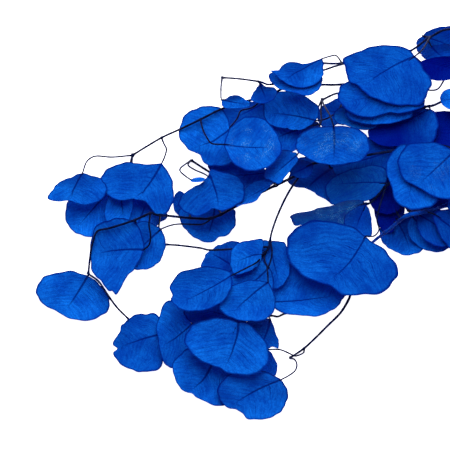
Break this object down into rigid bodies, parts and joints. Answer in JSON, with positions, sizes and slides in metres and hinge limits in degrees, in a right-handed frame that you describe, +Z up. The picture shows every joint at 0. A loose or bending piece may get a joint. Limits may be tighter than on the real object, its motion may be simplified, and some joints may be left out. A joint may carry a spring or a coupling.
{
  "type": "dried leaf branch",
  "caption": "Dried branch of broad round blue-dyed leaves on thin dark twigs, lying flat, with a plainly cut stem; for vases, wreaths and dried arrangements.",
  "frame": {"origin": "middle of the branch's box in plan, on the surface that it lies on", "axes": "+X along the branch from its leafy tips to the cut end of its stem, +Z up from the surface"},
  "size_m": [0.4592, 0.3022, 0.0552],
  "materials": {
    "leaf_blue": "dry leathery leaf, dyed royal blue, dull sheen",
    "twig_blue": "thin bark, dyed blue-black, matt"
  },
  "bodies": {
    "root": {"main_stem": "twig_blue", "spray_low": "leaf_blue", "spray_middle": "leaf_blue", "spray_left": "leaf_blue", "spray_upper_middle": "leaf_blue", "spray_upper_left": "leaf_blue", "spray_broad": "leaf_blue", "spray_right": "leaf_blue", "spray_top": "leaf_blue"}
  },
  "joints": []
}
